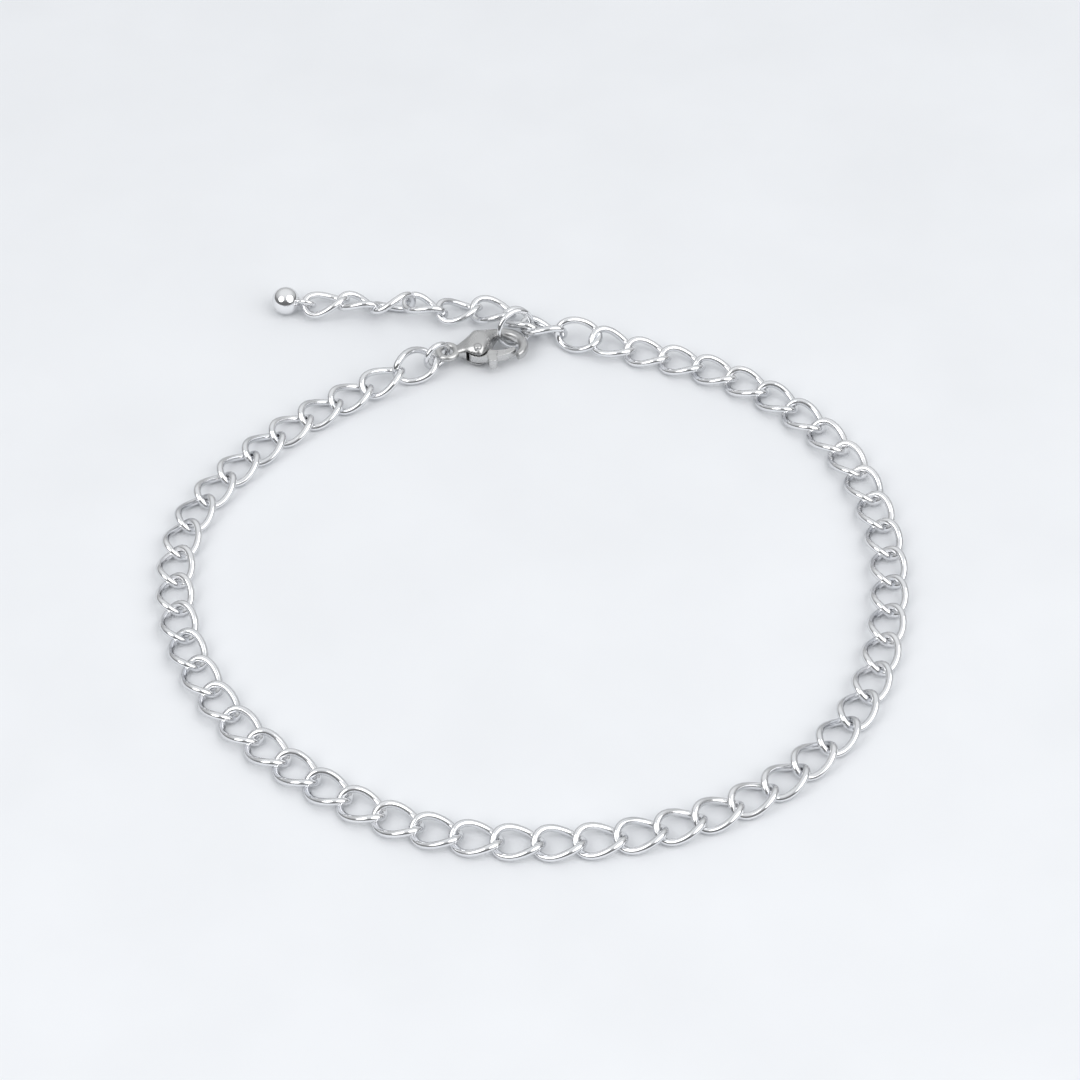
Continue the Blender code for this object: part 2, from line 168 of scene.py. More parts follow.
def axes_along(direction, roll):
    """Rows along, left and up for a piece that runs in this direction, rolled about it."""
    along = unit(direction)
    left = unit(np.cross(UP, along))
    up = np.cross(along, left)
    return np.array([along, cosd(roll) * left + sind(roll) * up, cosd(roll) * up - sind(roll) * left])


# %% Heights of rolled links and leaning rings
LINK_HALF = (LINK_PITCH + LINK_WIRE - LINK_BITE) / 2
SEAT_FROM_MIDDLE = LINK_HALF - LINK_WIRE / 2 - RING_WIRE / 2 - RING_GAP


def corner_radius(radius):
    """Reach of the corners of the solid's six-sided wire, which rests on the paper."""
    return radius * math.sqrt(2 * math.pi / (WIRE_SIDES * math.sin(2 * math.pi / WIRE_SIDES)))


def link_height(roll):
    """Height of a level link's middle above the paper, for this roll."""
    turn = np.linspace(0, 2 * math.pi, 13)[:-1]
    across = (LINK_WIDTH - LINK_WIRE) / 2 * np.sin(turn)
    twist = -math.radians(LINK_TWIST) * np.cos(turn) + math.radians(roll)
    return float(-(across * np.sin(twist)).min() + corner_radius(LINK_WIRE / 2))


def ring_point(pose, turn):
    return pose["middle"] + pose["reach"] * (cosd(turn) * pose["along"] + sind(turn) * pose["rise"])


def ring_pose(seat, heading, outer, lean):
    """A ring on the paper whose wire passes through this point."""
    reach = (outer - RING_WIRE) / 2
    rise = cosd(lean) * level(heading + 90) + sind(lean) * UP
    height = reach * sind(lean) + corner_radius(RING_WIRE / 2)
    turn = 180 - math.degrees(math.asin((seat[2] - height) / (reach * sind(lean))))
    middle = seat - reach * (cosd(turn) * level(heading) + sind(turn) * rise)
    return {"middle": middle, "along": level(heading), "rise": rise, "reach": reach}


# %% Place the clasp, the rings and the route for a loop of the right length
def in_clasp(eye, along, across, height):
    """A point of the clasp's frame, from shares of its length to the bend and of its width."""
    bend = CLASP_LENGTH - EYE_OUTER / 2
    sideways = CLASP_WIDTH * across * level(CLASP_HEADING + 90)
    return eye + bend * along * level(CLASP_HEADING) + sideways + height * UP


def loop_for(radius):
    """The eye, both rings and the route for a loop of this radius."""
    eye = radius * CLASP_REACH * level(CLASP_BEARING)
    hook = in_clasp(eye, HOOK_ALONG, HOOK_ACROSS, CLASP_MIDDLE)
    first_ring = ring_pose(
        eye + CLASP_MIDDLE * UP, CLASP_HEADING + CLASP_RING_HEADING, CLASP_RING_OUTER, CLASP_RING_LEAN
    )
    last_ring = ring_pose(hook, CLASP_HEADING + END_RING_HEADING, END_RING_OUTER, END_RING_LEAN)
    drop = link_height(FIRST_LINK_ROLLS[0]) - first_ring["middle"][2]
    low = drop / (first_ring["reach"] * first_ring["rise"][2])
    start = ring_point(first_ring, math.degrees(math.asin(max(-1.0, min(1.0, low)))))
    chosen = [radius * reach * level(bearing) for bearing, reach in LOOP_ROUTE]
    ends = (start, *chosen, ring_point(last_ring, CHAIN_SEAT))
    route = smooth_rows([point * (1, 1, 0) for point in ends], ROUTE_STEPS)
    return eye, first_ring, last_ring, route


def lengths_along(points):
    return np.concatenate([[0], np.cumsum(np.linalg.norm(np.diff(points, axis=0), axis=1))])


RADIUS_TOLERANCE = 1e-6


def solve_radius():
    """The radius at which the route is as long as the chain, found by halving."""
    wanted = (LINK_COUNT - 1) * LINK_PITCH + 2 * SEAT_FROM_MIDDLE
    low, high = wanted / 12, wanted / 3
    while high - low > RADIUS_TOLERANCE:
        radius = (low + high) / 2
        if lengths_along(loop_for(radius)[3])[-1] < wanted:
            low = radius
        else:
            high = radius
    return (low + high) / 2


clasp_eye, clasp_ring, end_ring, route = loop_for(solve_radius())


# %% Work out the place of every link
def links_between(plan, rolls, start_height=0.0, end_height=0.0):
    """Middle, direction and roll of the link from each joint to the next."""
    heights = [link_height(roll) for roll in rolls]
    joints = [heights[0], *map(max, heights, heights[1:]), heights[-1]]
    joints[0] = max(joints[0], start_height)
    joints[-1] = max(joints[-1], end_height)
    points = [point * (1, 1, 0) + height * UP for point, height in zip(plan, joints)]
    return [((here + there) / 2, there - here, roll) for here, there, roll in zip(points, points[1:], rolls)]


def chain_links():
    lengths = lengths_along(route)
    joints = SEAT_FROM_MIDDLE - LINK_PITCH / 2 + LINK_PITCH * np.arange(LINK_COUNT + 1)
    plan = np.array([[np.interp(joint, lengths, route[:, axis]) for axis in range(3)] for joint in joints])
    plan[0] += joints[0] * unit(route[1] - route[0])
    plan[-1] += max(0.0, joints[-1] - lengths[-1]) * unit(route[-1] - route[-2])
    level_links = LINK_COUNT - len(FIRST_LINK_ROLLS) - len(LAST_LINK_ROLLS)
    rolls = FIRST_LINK_ROLLS + [0.0] * level_links + LAST_LINK_ROLLS
    return links_between(plan, rolls, end_height=ring_point(end_ring, CHAIN_SEAT)[2])


def extender_links():
    seat = ring_point(end_ring, EXTENDER_SEAT)
    plan = [seat + level(EXTENDER_LINKS[0][0]) * (SEAT_FROM_MIDDLE - LINK_PITCH / 2)]
    for heading, _ in EXTENDER_LINKS:
        plan.append(plan[-1] + LINK_PITCH * level(heading))
    return links_between(plan, [roll for _, roll in EXTENDER_LINKS], start_height=seat[2])


def middle_of(node):
    low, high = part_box(node)
    return (np.array(low) + np.array(high)) / 2 / MM


chain = chain_links()
extender = extender_links()
shift = (middle_of("clasp_ring") - clasp_ring["middle"]) * (1, 1, 0)
print("loop to world shift in mm", shift.round(3))
print("end ring: packed at", middle_of("end_ring"), "worked out at", end_ring["middle"] + shift)


# %% [markdown]
# Polished steel is a mirror, so its looks come from what it reflects. What a material can add is
# small: roughness that changes a little where fingers and polishing cloths have been, and fine
# scratches. Both are in one shader group, which each finish uses with its own values. A painted
# shade is added as well: the colour is darkened towards the outline, a painted reflection of dark
# surroundings, since the photograph's wire has one and this plain room gives none.

# %% Shader group for handling marks on steel
def new_group(name, inputs, outputs):
    group = bpy.data.node_groups.new(name, "ShaderNodeTree")
    for label, value in inputs:
        socket = group.interface.new_socket(name=label, in_out="INPUT", socket_type="NodeSocketFloat")
        socket.default_value = value
    for label, kind in outputs:
        group.interface.new_socket(name=label, in_out="OUTPUT", socket_type=kind)
    return group, group.nodes.new("NodeGroupInput"), group.nodes.new("NodeGroupOutput")


def join(tree, source, target):
    tree.links.new(source, target)


def feed(tree, value, socket):
    """A number goes on the socket itself, and anything else is joined to it."""
    if isinstance(value, (int, float)):
        socket.default_value = value
    else:
        join(tree, value, socket)


def noise(tree, vector, scale, detail, roughness=0.5):
    node = tree.nodes.new("ShaderNodeTexNoise")
    node.inputs["Detail"].default_value = detail
    node.inputs["Roughness"].default_value = roughness
    join(tree, vector, node.inputs["Vector"])
    feed(tree, scale, node.inputs["Scale"])
    return node.outputs["Fac"]


def stretched(tree, factor, low, high):
    """Turns a noise value between 0.3 and 0.7 into one between low and high."""
    node = tree.nodes.new("ShaderNodeMapRange")
    node.inputs["From Min"].default_value = 0.3
    node.inputs["From Max"].default_value = 0.7
    join(tree, factor, node.inputs["Value"])
    feed(tree, low, node.inputs["To Min"])
    feed(tree, high, node.inputs["To Max"])
    return node.outputs["Result"]


TINT_SCALE = 260.0
SCRATCH_TURN = (0.5, 0.3, 0.9)
SCRATCH_STRETCH = (1.0, 0.12, 1.0)


def handling_marks():
    """Roughness, a darker or lighter tint, and the height of fine scratches."""
    group, given, result = new_group(
        "handling marks",
        [("Smooth", 0.08), ("Worn", 0.18), ("Patch Scale", 500.0), ("Scratch Scale", 2500.0)],
        [("Roughness", "NodeSocketFloat"), ("Tint", "NodeSocketFloat"), ("Scratches", "NodeSocketFloat")],
    )
    where = group.nodes.new("ShaderNodeTexCoord").outputs["Object"]
    patches = noise(group, where, given.outputs["Patch Scale"], 3.0)
    rough = stretched(group, patches, given.outputs["Smooth"], given.outputs["Worn"])
    tint = stretched(group, noise(group, where, TINT_SCALE, 2.0), 0.0, 1.0)
    turned = group.nodes.new("ShaderNodeMapping")
    turned.inputs["Rotation"].default_value = SCRATCH_TURN
    turned.inputs["Scale"].default_value = SCRATCH_STRETCH
    join(group, where, turned.inputs["Vector"])
    scratches = noise(group, turned.outputs["Vector"], given.outputs["Scratch Scale"], 4.0, 0.65)
    join(group, rough, result.inputs["Roughness"])
    join(group, tint, result.inputs["Tint"])
    join(group, scratches, result.inputs["Scratches"])
    return group


marks = handling_marks()


# %% Steel finishes for the wire, the clasp and the ball
# Facing values over which the painted rim shade grows, from none to full.
PAINTED_RIM_START = 0.12
PAINTED_RIM_END = 0.75
SCRATCH_STRENGTH = 0.25


def painted_dark_rim(tree, colour, amount):
    """Painted rim shade: darkens the colour towards the outline, a painted reflection of what lies beside
    and under the wire.
    """
    facing = tree.nodes.new("ShaderNodeLayerWeight")
    painted_rim_shade = tree.nodes.new("ShaderNodeMapRange")
    painted_rim_shade.interpolation_type = "SMOOTHSTEP"
    painted_rim_shade.inputs["From Min"].default_value = PAINTED_RIM_START
    painted_rim_shade.inputs["From Max"].default_value = PAINTED_RIM_END
    painted_rim_shade.inputs["To Min"].default_value = 1.0
    painted_rim_shade.inputs["To Max"].default_value = 1.0 - amount
    join(tree, facing.outputs["Facing"], painted_rim_shade.inputs["Value"])
    shaded = tree.nodes.new("ShaderNodeVectorMath")
    shaded.operation = "SCALE"
    join(tree, colour, shaded.inputs[0])
    join(tree, painted_rim_shade.outputs["Result"], shaded.inputs["Scale"])
    return shaded.outputs["Vector"]


def steel(name, pale, dark, smooth, worn, patch, scratch, depth, painted_rim_shade):
    material = bpy.data.materials.new(name)
    material.use_nodes = True
    tree = material.node_tree
    shader = tree.nodes["Principled BSDF"]
    shader.inputs["Metallic"].default_value = 1.0
    wear = tree.nodes.new("ShaderNodeGroup")
    wear.node_tree = marks
    values = {"Smooth": smooth, "Worn": worn, "Patch Scale": patch, "Scratch Scale": scratch}
    for label, value in values.items():
        wear.inputs[label].default_value = value
    blend = tree.nodes.new("ShaderNodeMix")
    blend.data_type = "RGBA"
    blend.inputs["A"].default_value = (*dark, 1.0)
    blend.inputs["B"].default_value = (*pale, 1.0)
    join(tree, wear.outputs["Tint"], blend.inputs["Factor"])
    # The base colour gets a painted rim shade, darker towards the outline.
    join(tree, painted_dark_rim(tree, blend.outputs["Result"], painted_rim_shade), shader.inputs["Base Color"])
    join(tree, wear.outputs["Roughness"], shader.inputs["Roughness"])
    bump = tree.nodes.new("ShaderNodeBump")
    bump.inputs["Strength"].default_value = SCRATCH_STRENGTH
    bump.inputs["Distance"].default_value = depth
    join(tree, wear.outputs["Scratches"], bump.inputs["Height"])
    join(tree, bump.outputs["Normal"], shader.inputs["Normal"])
    return material


# The last value of each finish is the depth of its painted rim shade.
wire_steel = steel(
    "polished wire",
    pale=(0.93, 0.93, 0.94),
    dark=(0.84, 0.85, 0.87),
    smooth=0.07,
    worn=0.17,
    patch=500,
    scratch=2600,
    depth=0.000012,
    painted_rim_shade=0.22,
)
clasp_steel = steel(
    "tumbled clasp steel",
    pale=(0.66, 0.66, 0.655),
    dark=(0.53, 0.53, 0.53),
    smooth=0.22,
    worn=0.34,
    patch=700,
    scratch=2200,
    depth=0.00002,
    painted_rim_shade=0.05,
)
ball_steel = steel(
    "mirror ball steel",
    pale=(0.95, 0.95, 0.96),
    dark=(0.90, 0.91, 0.92),
    smooth=0.05,
    worn=0.11,
    patch=400,
    scratch=3000,
    depth=0.000004,
    painted_rim_shade=0.15,
)


# %% [markdown]
# A curb link is an oval of round wire that is twisted by nearly a quarter turn end to end, so that the
# chain lies flat. A jump ring is the same thing with no twist. So one Geometry Nodes tree makes them
# all: it bends a circle to the oval, twists it, gives it the wire's thickness and a small swell where
# the wire is soldered shut (or a groove where a ring is only closed), and puts a copy on every place.

# %% Geometry Nodes tree for links and rings
JOINT_START = 0.985  # share of the reach across
JOINT_END = 0.999


def wire_tree():
    tree = bpy.data.node_groups.new("wire links", "GeometryNodeTree")
    sockets = tree.interface
    sockets.new_socket(name="Geometry", in_out="INPUT", socket_type="NodeSocketGeometry")
    for label in ("Reach Along", "Reach Across", "End Fullness", "Wire Radius", "Twist", "Joint Swell"):
        sockets.new_socket(name=label, in_out="INPUT", socket_type="NodeSocketFloat")
    for label in ("Segments", "Sides"):
        sockets.new_socket(name=label, in_out="INPUT", socket_type="NodeSocketInt")
    sockets.new_socket(name="Finish", in_out="INPUT", socket_type="NodeSocketMaterial")
    sockets.new_socket(name="Geometry", in_out="OUTPUT", socket_type="NodeSocketGeometry")
    given, result = tree.nodes.new("NodeGroupInput"), tree.nodes.new("NodeGroupOutput")

    def math_node(operation, first, second=None):
        node = tree.nodes.new("ShaderNodeMath")
        node.operation = operation
        for value, socket in zip((first, second), node.inputs):
            if value is not None:
                feed(tree, value, socket)
        return node.outputs[0]

    circle = tree.nodes.new("GeometryNodeCurvePrimitiveCircle")
    circle.inputs["Radius"].default_value = 1.0
    join(tree, given.outputs["Segments"], circle.inputs["Resolution"])
    place = tree.nodes.new("ShaderNodeSeparateXYZ")
    join(tree, tree.nodes.new("GeometryNodeInputPosition").outputs[0], place.inputs[0])
    near_end = math_node("MULTIPLY", place.outputs["X"], place.outputs["X"])
    fuller = math_node("ADD", math_node("MULTIPLY", near_end, given.outputs["End Fullness"]), 1.0)
    oval = math_node("MULTIPLY", place.outputs["Y"], fuller)
    across = math_node("MULTIPLY", oval, given.outputs["Reach Across"])
    turn = math_node("MULTIPLY", math_node("MULTIPLY", place.outputs["X"], given.outputs["Twist"]), -1.0)
    bent = tree.nodes.new("ShaderNodeCombineXYZ")
    join(tree, math_node("MULTIPLY", place.outputs["X"], given.outputs["Reach Along"]), bent.inputs["X"])
    join(tree, math_node("MULTIPLY", across, math_node("COSINE", turn)), bent.inputs["Y"])
    join(tree, math_node("MULTIPLY", across, math_node("SINE", turn)), bent.inputs["Z"])

    near_joint = tree.nodes.new("ShaderNodeMapRange")
    near_joint.interpolation_type = "SMOOTHSTEP"
    near_joint.inputs["From Min"].default_value = JOINT_START
    near_joint.inputs["From Max"].default_value = JOINT_END
    join(tree, math_node("MULTIPLY", place.outputs["Y"], -1.0), near_joint.inputs["Value"])
    join(tree, given.outputs["Joint Swell"], near_joint.inputs["To Max"])
    thickness = tree.nodes.new("GeometryNodeSetCurveRadius")
    join(tree, circle.outputs["Curve"], thickness.inputs["Curve"])
    join(tree, math_node("ADD", near_joint.outputs["Result"], 1.0), thickness.inputs["Radius"])
    moved = tree.nodes.new("GeometryNodeSetPosition")
    join(tree, thickness.outputs["Curve"], moved.inputs["Geometry"])
    join(tree, bent.outputs["Vector"], moved.inputs["Position"])

    profile = tree.nodes.new("GeometryNodeCurvePrimitiveCircle")
    join(tree, given.outputs["Sides"], profile.inputs["Resolution"])
    join(tree, given.outputs["Wire Radius"], profile.inputs["Radius"])
    tube = tree.nodes.new("GeometryNodeCurveToMesh")
    join(tree, moved.outputs["Geometry"], tube.inputs["Curve"])
    join(tree, profile.outputs["Curve"], tube.inputs["Profile Curve"])

    turned = tree.nodes.new("GeometryNodeInputNamedAttribute")
    turned.data_type = "FLOAT_VECTOR"
    turned.inputs["Name"].default_value = "turn"
    rotation = tree.nodes.new("FunctionNodeEulerToRotation")
    join(tree, turned.outputs["Attribute"], rotation.inputs[0])
    copies = tree.nodes.new("GeometryNodeInstanceOnPoints")
    join(tree, given.outputs["Geometry"], copies.inputs["Points"])
    join(tree, tube.outputs["Mesh"], copies.inputs["Instance"])
    join(tree, rotation.outputs[0], copies.inputs["Rotation"])
    real = tree.nodes.new("GeometryNodeRealizeInstances")
    smooth = tree.nodes.new("GeometryNodeSetShadeSmooth")
    finish = tree.nodes.new("GeometryNodeSetMaterial")
    join(tree, copies.outputs["Instances"], real.inputs["Geometry"])
    join(tree, real.outputs["Geometry"], smooth.inputs["Geometry"])
    join(tree, smooth.outputs["Geometry"], finish.inputs["Geometry"])
    join(tree, given.outputs["Finish"], finish.inputs["Material"])
    join(tree, finish.outputs["Geometry"], result.inputs["Geometry"])
    return tree


wires = wire_tree()


# %% Turn the tree's result into a plain mesh
def in_world(point):
    return Vector((np.asarray(point) + shift) * MM)


def new_object(name, mesh):
    piece = bpy.data.objects.new(name, mesh)
    bpy.context.scene.collection.objects.link(piece)
    return piece


def wire_pieces(name, places, sizes, finish):
    """One mesh of closed wires, each at a middle and with rows of axes."""
    points = bpy.data.meshes.new(f"{name} places")
    points.from_pydata([in_world(middle) for middle, _ in places], [], [])
    turns = points.attributes.new("turn", "FLOAT_VECTOR", "POINT")
    for item, (_, axes) in zip(turns.data, places):
        item.vector = Matrix(axes.tolist()).transposed().to_euler()
    maker = new_object(f"{name} maker", points)
    modifier = maker.modifiers.new("wire links", "NODES")
    modifier.node_group = wires
    values = {**sizes, "Finish": finish}
    for item in wires.interface.items_tree:
        if item.in_out == "INPUT" and item.name in values:
            modifier[item.identifier] = values[item.name]
    graph = bpy.context.evaluated_depsgraph_get()
    mesh = bpy.data.meshes.new_from_object(maker.evaluated_get(graph))
    maker.modifiers.remove(modifier)
    bpy.data.objects.remove(maker, do_unlink=True)
    mesh.name = name
    print(name, len(mesh.polygons), "faces")
    return new_object(name, mesh)


def wire_sizes(along, across, wire, full=0.0, twist=0.0, joint=0.0, segments=64, sides=16):
    """The tree's inputs for wire of this centreline reach, in millimetres."""
    return {
        "Reach Along": along * MM,
        "Reach Across": across * MM,
        "End Fullness": full,
        "Wire Radius": wire / 2 * MM,
        "Twist": math.radians(twist),
        "Joint Swell": joint,
        "Segments": segments,
        "Sides": sides,
    }


# %% [markdown]
# The links of the loop and of the extender are separate closed wires that hold each other. Level
# links have a hair of free play; next to the rings and in the extender, where links stand rolled,
# they still press into each other, as they do in the solid. The drawn wire is a little thicker than
# the solid's, its ends are fuller and its twist is less, which is nearer to the photograph.

# %% Links of the loop and the extender
def link_places(links):
    return [(middle, axes_along(direction, roll)) for middle, direction, roll in links]


DRAWN_WIRE = 0.74
END_FULLNESS = 0.14
END_TWIST = 37.0
LINK_JOINT = 0.05
half_length = (LINK_PITCH + DRAWN_WIRE + FREE_PLAY) / 2
half_width = (LINK_WIDTH - DRAWN_WIRE) / 2
link_sizes = wire_sizes(half_length, half_width, DRAWN_WIRE, END_FULLNESS, END_TWIST, LINK_JOINT)
for node, links in (("curb_chain", chain), ("extender_chain", extender)):
    piece = wire_pieces(f"{node}_links", link_places(links), link_sizes, wire_steel)
    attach(piece, "bracelet")
    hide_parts(node)

# %% Jump rings, closed but not soldered
RING_JOINT = -0.10
for node, pose in (("clasp_ring", clasp_ring), ("end_ring", end_ring)):
    axes = np.array([pose["along"], pose["rise"], np.cross(pose["along"], pose["rise"])])
    ring_sizes = wire_sizes(pose["reach"], pose["reach"], RING_WIRE, joint=RING_JOINT, segments=96)
    piece = wire_pieces(f"{node}_wire", [(pose["middle"], axes)], ring_sizes, wire_steel)
    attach(piece, "bracelet")
    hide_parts(node)


# %% [markdown]
# The lobster clasp is cast: an eye, a thick body with a slot for the lever, and a hook that bends
# back. Its body is lofted through sections with round corners, which follow the hook. A table of
# shares of its length, width and thickness is easier to shape than a sculpted mesh.

# %% Helpers for lofts and booleans
def loft(sections):
    count, corners = len(sections), len(sections[0])
    faces = [tuple(range(corners))[::-1], tuple((count - 1) * corners + k for k in range(corners))]
    for row in range(count - 1):
        for side in range(corners):
            here, there = row * corners, (row + 1) * corners
            beside = (side + 1) % corners
            faces.append((here + side, here + beside, there + beside, there + side))
    return np.vstack(sections), faces


def solid(name, shape, finish=None):
    """An object from points in millimetres of the working frame, with its faces turned outwards."""
    vertices, faces = shape
    mesh = bpy.data.meshes.new(name)
    mesh.from_pydata([in_world(point) for point in vertices], [], faces)
    work = bmesh.new()
    work.from_mesh(mesh)
    bmesh.ops.recalc_face_normals(work, faces=work.faces)
    work.to_mesh(mesh)
    work.free()
    if finish:
        mesh.materials.append(finish)
    return new_object(name, mesh)


def boolean(piece, operation, tool):
    """Joins or cuts with a helper object, applies it and removes the helper."""
    modifier = piece.modifiers.new(operation.lower(), "BOOLEAN")
    modifier.operation = operation
    modifier.object = tool
    modifier.solver = "EXACT"
    applied(piece)
    bpy.data.objects.remove(tool, do_unlink=True)


def applied(piece):
    """Makes the result of the piece's modifiers its own mesh."""
    graph = bpy.context.evaluated_depsgraph_get()
    mesh = bpy.data.meshes.new_from_object(piece.evaluated_get(graph))
    piece.modifiers.clear()
    piece.data = mesh


def softened(piece, width, angle=32.0, segments=3):
    """Rounds the sharp edges, which a tumbled casting has none of, and shades the rest smooth."""
    bevel = piece.modifiers.new("round edges", "BEVEL")
    bevel.width = width * MM
    bevel.segments = segments
    bevel.limit_method = "ANGLE"
    bevel.angle_limit = math.radians(angle)
    applied(piece)
    piece.data.shade_smooth()
    piece.data.set_sharp_from_angle(angle=math.radians(60))


# %% Sections of the clasp: along, across, half width, low, high and turn
CLASP_SECTIONS = [
    (0.110, 0.000, 0.115, 0.40, 0.64, 0),
    (0.190, 0.000, 0.180, 0.24, 0.80, 0),
    (0.280, 0.000, 0.300, 0.00, 0.95, 0),
    (0.375, 0.030, 0.390, 0.00, 1.00, 4),
    (0.470, 0.130, 0.305, 0.00, 0.97, 12),
    (0.555, 0.265, 0.175, 0.14, 0.86, 16),
    (0.650, 0.340, 0.110, 0.30, 0.74, 6),
    (0.750, 0.325, 0.102, 0.30, 0.74, -16),
    (0.850, 0.240, 0.100, 0.30, 0.74, -42),
    (0.920, 0.080, 0.100, 0.30, 0.74, -74),
    (0.935, -0.110, 0.098, 0.30, 0.74, -105),
    (0.895, -0.275, 0.085, 0.32, 0.72, -138),
    (0.835, -0.370, 0.060, 0.36, 0.68, -150),
]
SECTION_CORNER = 0.46
SECTION_ROWS = 8
CORNER_POINTS = 7


def clasp_section(row):
    middle = in_clasp(clasp_eye, row[0], row[1], 0)
    sideways = level(CLASP_HEADING + row[5] + 90)
    half, low, high = CLASP_WIDTH * row[2], CLASP_THICK * row[3], CLASP_THICK * row[4]
    corner = SECTION_CORNER * min(2 * half, high - low)
    points = []
    for side, base, start in ((1, low, -90), (1, high, 0), (-1, high, 90), (-1, low, 180)):
        inner = base + corner * (1 if base == low else -1)
        for turn in start + np.linspace(0, 90, CORNER_POINTS):
            across = side * (half - corner) + corner * cosd(turn)
            points.append(middle + across * sideways + (inner + corner * sind(turn)) * UP)
    return np.array(points)


# %% Cut the lever's slot and add the pin and the eye
LEVER_THICK = 0.90
LEVER_GAP = 0.15
PIN_ALONG = 0.360
PIN_ACROSS = -0.190
PIN_RADIUS = 0.35
RIVET_DOME = [(0.44, -0.60), (0.44, -0.08), (0.38, 0.00), (0.20, 0.04)]  # radius, height over the top
SLOT_BACK = 0.215
SLOT_FRONT = 0.680
SLOT_DEPTH = 0.015
BODY_EDGE = 0.07


def prism(outline, low, high):
    flat = np.array(outline) * (1, 1, 0)
    return loft([flat + low * UP, flat + high * UP])


def disc(middle, radius, low, high, sides=40):
    return prism([middle + radius * level(turn) for turn in 360 * np.arange(sides) / sides], low, high)


def rivet_head(middle, sides=40):
    """The pin's end, hammered to a low dome on top of the body."""
    turns = 360 * np.arange(sides) / sides
    return loft(
        [
            np.array([middle + radius * level(turn) + (CLASP_THICK + height) * UP for turn in turns])
            for radius, height in RIVET_DOME
        ]
    )


def clasp_body():
    rows = smooth_rows(CLASP_SECTIONS, SECTION_ROWS)
    rows[:, 3] = np.maximum(rows[:, 3], 0)
    body = solid("clasp_body_cast", loft([clasp_section(row) for row in rows]), clasp_steel)
    slot_half = LEVER_THICK / 2 + LEVER_GAP
    corners = ((SLOT_BACK, -1), (SLOT_FRONT, -1), (SLOT_FRONT, SLOT_DEPTH), (SLOT_BACK, SLOT_DEPTH))
    outline = [in_clasp(clasp_eye, along, across, 0) for along, across in corners]
    slot = prism(outline, CLASP_MIDDLE - slot_half, CLASP_MIDDLE + slot_half)
    boolean(body, "DIFFERENCE", solid("slot", slot))
    softened(body, BODY_EDGE)
    eye_reach = (EYE_OUTER - EYE_WIRE) / 2
    eye_sizes = wire_sizes(eye_reach, eye_reach, EYE_WIRE, segments=80, sides=20)
    eye = wire_pieces("eye", [(clasp_eye + CLASP_MIDDLE * UP, np.eye(3))], eye_sizes, clasp_steel)
    boolean(body, "UNION", eye)
    pin = in_clasp(clasp_eye, PIN_ALONG, PIN_ACROSS, 0)
    embed = slot_half + (CLASP_THICK / 2 - slot_half) / 2
    shank = solid("pin", disc(pin, PIN_RADIUS, CLASP_MIDDLE - embed, CLASP_MIDDLE + embed), clasp_steel)
    boolean(body, "UNION", shank)
    boolean(body, "UNION", solid("rivet head", rivet_head(pin), clasp_steel))
    body.data.shade_smooth()
    body.data.set_sharp_from_angle(angle=math.radians(50))
    return body


body = clasp_body()
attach(body, "bracelet")
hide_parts("clasp_body")
print("clasp body", len(body.data.polygons), "faces")

# %% [markdown]
# The lever is stamped: a flat finger that turns on the pin, with a knob for the thumbnail. It rides
# on the lever's own body, so that the clasp opens in every pose.

# %% The lever with its knob
LEVER_SECTIONS = [
    (0.250, -0.190, 0.060),
    (0.285, -0.190, 0.125),
    (0.360, -0.190, 0.170),
    (0.460, -0.245, 0.130),
    (0.560, -0.290, 0.095),
    (0.680, -0.290, 0.078),
    (0.770, -0.235, 0.068),
    (0.820, -0.195, 0.040),
]
PIN_GAP = 0.12
KNOB_ALONG = 0.520
KNOB_REACH = -0.560
KNOB_WIDTH = 0.95
KNOB_THICK = 1.3
KNOB_ROOT = -0.350
LEVER_ROWS = 6
LEVER_EDGE = 0.10


def lever_outline():
    rows = smooth_rows(LEVER_SECTIONS, LEVER_ROWS)
    middles = [in_clasp(clasp_eye, along, across, 0) for along, across, _ in rows]
    ways = [unit(middles[min(k + 1, len(rows) - 1)] - middles[max(k - 1, 0)]) for k in range(len(rows))]
    sides = [np.cross(UP, way) * CLASP_WIDTH * row[2] for way, row in zip(ways, rows)]
    left = [middle + side for middle, side in zip(middles, sides)]
    right = [middle - side for middle, side in zip(middles, sides)]
    return right + left[::-1]


def knob_outline():
    root = in_clasp(clasp_eye, KNOB_ALONG, KNOB_ROOT, 0)
    radius = KNOB_WIDTH / 2
    reach = CLASP_WIDTH * (KNOB_ROOT - KNOB_REACH) - radius
    end = root + reach * level(CLASP_HEADING - 90)
    half = radius * level(CLASP_HEADING)
    tip = [end + radius * level(CLASP_HEADING + turn) for turn in np.linspace(180, 360, 17)]
    return [root - half, *tip, root + half]


def clasp_lever():
    low, high = CLASP_MIDDLE - LEVER_THICK / 2, CLASP_MIDDLE + LEVER_THICK / 2
    lever = solid("clasp_lever_stamped", prism(lever_outline(), low, high), clasp_steel)
    knob_low, knob_high = CLASP_MIDDLE - KNOB_THICK / 2, CLASP_MIDDLE + KNOB_THICK / 2
    boolean(lever, "UNION", solid("knob", prism(knob_outline(), knob_low, knob_high), clasp_steel))
    pin = in_clasp(clasp_eye, PIN_ALONG, PIN_ACROSS, 0)
    boolean(lever, "DIFFERENCE", solid("hole", disc(pin, PIN_RADIUS + PIN_GAP, low - 1, high + 1)))
    softened(lever, LEVER_EDGE, angle=40.0)
    return lever


lever = clasp_lever()
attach(lever, "lever")
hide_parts("clasp_lever")
print("lever", len(lever.data.polygons), "faces")


# %% [markdown]
# The extender ends in a mirror-bright ball with a small soldered eye. A sphere of fine rows is the
# one shape that really is plain; the eye is joined to it so that both are one closed skin.

